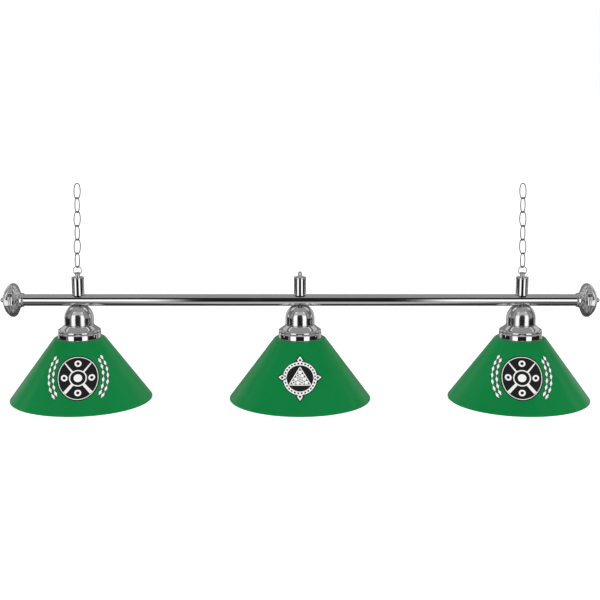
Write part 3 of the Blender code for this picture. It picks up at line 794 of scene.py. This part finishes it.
class Sky:
    """The studio round the lamp, as numbers worked out from a direction."""

    def __init__(self):
        world = bpy.data.worlds.new("studio")
        world.use_nodes = True
        bpy.context.scene.world = world
        self.nodes = world.node_tree.nodes
        self.links = world.node_tree.links
        self.background = self.nodes["Background"]
        self.background.inputs["Color"].default_value = (1, 1, 1, 1)
        place = self.nodes.new("ShaderNodeTexCoord")
        parts = self.nodes.new("ShaderNodeSeparateXYZ")
        self.links.new(place.outputs["Generated"], parts.inputs["Vector"])
        self.x, self.y, self.z = (parts.outputs[axis] for axis in "XYZ")

    def put(self, socket, value):
        if isinstance(value, (int, float)):
            socket.default_value = value
        else:
            self.links.new(value, socket)

    def math(self, operation, *values):
        node = self.nodes.new("ShaderNodeMath")
        node.operation = operation
        for socket, value in zip(node.inputs, values):
            self.put(socket, value)
        return node.outputs[0]

    def step(self, value, start, end):
        """0 below start and 1 above end."""
        node = self.nodes.new("ShaderNodeMapRange")
        node.interpolation_type = "SMOOTHSTEP"
        self.put(node.inputs["Value"], value)
        node.inputs["From Min"].default_value = start
        node.inputs["From Max"].default_value = end
        return node.outputs["Result"]

    def blend(self, factor, low, high):
        node = self.nodes.new("ShaderNodeMix")
        self.put(node.inputs["Factor"], factor)
        self.put(node.inputs["A"], low)
        self.put(node.inputs["B"], high)
        return node.outputs["Result"]

    def bands(self, value, levels):
        """levels is [(from this value on, brightness), ...], with soft steps between."""
        result = levels[0][1]
        for start, brightness in levels[1:]:
            result = self.blend(self.step(value, start - 1.2, start + 1.2), result, brightness)
        return result


def make_studio():
    """Metal sees a dark gap in front, a tall soft light on each side of it and greys beyond.
    All else is lit evenly."""
    sky = Sky()
    degrees = 180 / math.pi
    forward = sky.math("MULTIPLY", sky.y, -1)
    turn = sky.math("MULTIPLY", sky.math("ABSOLUTE", sky.math("ARCTAN2", sky.x, forward)), degrees)
    height = sky.math("MULTIPLY", sky.math("ARCSINE", sky.z), degrees)
    front = [(0, 0.015), (21.5, 1.3), (51, 0.2), (65, 0.32), (84, 0.13)]
    behind = [(101, 0.8), (114, 0.2), (128, 0.55), (150, 0.24)]
    level = sky.bands(turn, front + behind)
    low_behind = sky.bands(turn, [(0, 1), (95, 0.35)])
    level = sky.math("MULTIPLY", level, sky.blend(sky.step(height, -17, -12), low_behind, 1))
    below = sky.bands(turn, [(0, 0.5), (12.3, 0.13), (60, 0.3), (110, 0.08)])
    seen = sky.blend(sky.step(height, -27, -23), below, level)
    seen = sky.blend(sky.step(height, -74, -68), 0.03, seen)
    seen = sky.blend(sky.step(height, 48, 53), seen, 0.33)
    path = sky.nodes.new("ShaderNodeLightPath")
    around = sky.blend(sky.step(sky.y, -0.1, 0.6), AROUND, BEHIND)
    seen = sky.blend(path.outputs["Is Glossy Ray"], around, seen)
    seen = sky.blend(path.outputs["Is Camera Ray"], seen, 1.0)
    sky.links.new(seen, sky.background.inputs["Strength"])


def glow(name, strength, fade=None):
    """A light's material. fade is (from, to), the distances from the middle over which it comes up."""
    material = bpy.data.materials.new(name)
    material.use_nodes = True
    nodes, links = material.node_tree.nodes, material.node_tree.links
    shader = nodes["Principled BSDF"]
    shader.inputs["Base Color"].default_value = (0, 0, 0, 1)
    shader.inputs["Emission Color"].default_value = (1, 1, 1, 1)
    shader.inputs["Emission Strength"].default_value = strength
    if fade:
        parts = nodes.new("ShaderNodeSeparateXYZ")
        links.new(nodes.new("ShaderNodeTexCoord").outputs["Object"], parts.inputs["Vector"])
        distance = nodes.new("ShaderNodeMath")
        distance.operation = "ABSOLUTE"
        links.new(parts.outputs["X"], distance.inputs[0])
        reach = nodes.new("ShaderNodeMapRange")
        reach.interpolation_type = "SMOOTHSTEP"
        reach.inputs["From Min"].default_value = fade[0]
        reach.inputs["From Max"].default_value = fade[1]
        reach.inputs["To Max"].default_value = strength
        links.new(distance.outputs[0], reach.inputs["Value"])
        links.new(reach.outputs["Result"], shader.inputs["Emission Strength"])
    return material


LIGHT_DISTANCE = 12  # in front of the lamp


def make_card(name, material, across, up, seen_by, turn=0):
    """An upright soft light, turned by so many degrees from the front, from across[0] to across[1] and from
    up[0] to up[1] degrees as seen from the bar. Only the pieces in seen_by mirror it."""
    only = bpy.data.collections.new(f"{name}_mirrors")
    for obj in seen_by:
        only.objects.link(obj)
    low, high = (BAR_Z + LIGHT_DISTANCE * math.tan(math.radians(angle)) for angle in up)
    bm = bmesh.new()
    spots = [(across[0], low), (across[1], low), (across[1], high), (across[0], high)]
    bm.faces.new([bm.verts.new((x, -LIGHT_DISTANCE, z)) for x, z in spots])
    mesh = bpy.data.meshes.new(name)
    bm.to_mesh(mesh)
    bm.free()
    card = shown(name, mesh, [material])
    card.rotation_euler.z = math.radians(turn)
    card.visible_camera = False
    card.visible_diffuse = False
    card.visible_shadow = False
    card.light_linking.receiver_collection = only


def make_cards(bar):
    """Lights that put the bright line on the bar's outer thirds, the grey on the shoulders of cups and
    holders and the bright middle of each end cap."""
    line = glow("line_light", 1.3, (1.3, 2.05))
    make_card("line_light_left", line, (-4.7, -1.3), (-18, 20), [bar])
    make_card("line_light_right", line, (1.3, 4.7), (-18, 20), [bar])
    parts = [f"{name}_{part}_skin" for name in LAMPS for part in ("cup", "shade_holder")]
    shoulders = [bpy.data.objects[part] for part in parts]
    make_card("shoulder_light", glow("shoulder_light", 0.52), (-14, 14), (31, 53), shoulders)
    for end, side in ENDS.items():
        caps = [bpy.data.objects[f"{end}_end_{part}_skin"] for part in ("bell", "dome")]
        make_card(f"{end}_cap_light", glow(f"{end}_cap_light", 1.0), (-8, 5), (-19, -2), caps, side * 88)


# ---------------------------------------------------------------- all of it


def dress_kept_nodes():
    """CAD nodes whose shape is right stay, with a finished material."""
    kept = ["wiring_loom"]
    for name in LAMPS:
        kept += [f"{name}_{part}" for part in ("threaded_rod", "lock_nut", "screw_shell", "bulb_contact")]
    for node in kept:
        for material_slot in frame["nodes"][node].material_slots:
            material_slot.material = look_of(node)


make_camera()
make_chains()
bar = make_bar()
for end, side in ENDS.items():
    make_end(end, side)
    make_loop(end)
make_cap_nut()
make_bushing()
for name in LAMPS:
    make_post(name)
    make_cup(name)
    make_holder(name)
    make_shade(name)
    make_ring_nut(name)
    make_socket(name)
    make_bulb(name)
crossed_cues_print("left")
crossed_cues_print("right")
racked_balls_print("center")
dress_kept_nodes()
make_floor()
make_studio()
make_cards(bar)
bpy.context.scene.view_settings.view_transform = "Standard"
